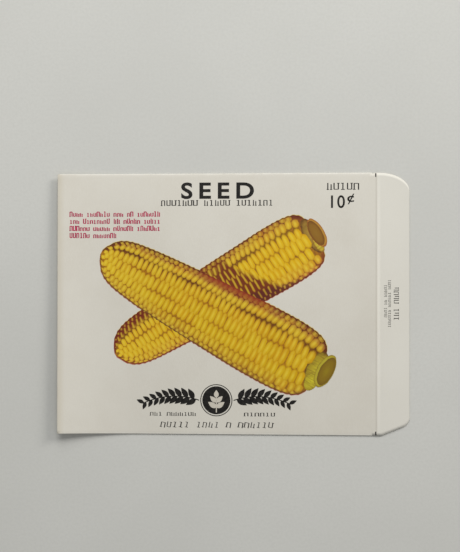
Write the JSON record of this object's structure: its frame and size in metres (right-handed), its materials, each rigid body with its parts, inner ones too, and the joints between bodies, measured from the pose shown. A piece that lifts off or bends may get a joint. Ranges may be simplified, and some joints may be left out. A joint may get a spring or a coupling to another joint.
{
  "type": "seed packet",
  "caption": "Flat, empty paper seed packet with a picture of crossed corn ears, a glued back and a closing flap that folds at its open end.",
  "frame": {"origin": "centre of the bounding box's base, on the surface that the packet's back lies on", "axes": "+X from the closed end to the closing flap, +Y to the long side where the back is hinged to the front, +Z out of the printed front"},
  "size_m": [0.1402, 0.1038, 0.0035],
  "materials": {
    "printed_paper": "satin",
    "plain_paper": "matte",
    "folded_edge": "matte",
    "picture_ink": "satin",
    "dark_ink": "satin",
    "crimson_ink": "satin"
  },
  "bodies": {
    "packet": {"front_panel": "printed_paper", "back_panel": "plain_paper", "seam_tab": "plain_paper", "end_tab": "plain_paper", "hinged_side_fold": "folded_edge", "seam_side_fold": "folded_edge", "closed_end_fold": "folded_edge"},
    "flap": {"closing_flap": "printed_paper"}
  },
  "joints": [
    {"name": "flap_fold", "type": "hinge", "parent": "packet", "child": "flap", "pos_m": [0.05695, 0, 0.0001], "axis": [0, 1, 0], "range_deg": [0, 180]}
  ]
}
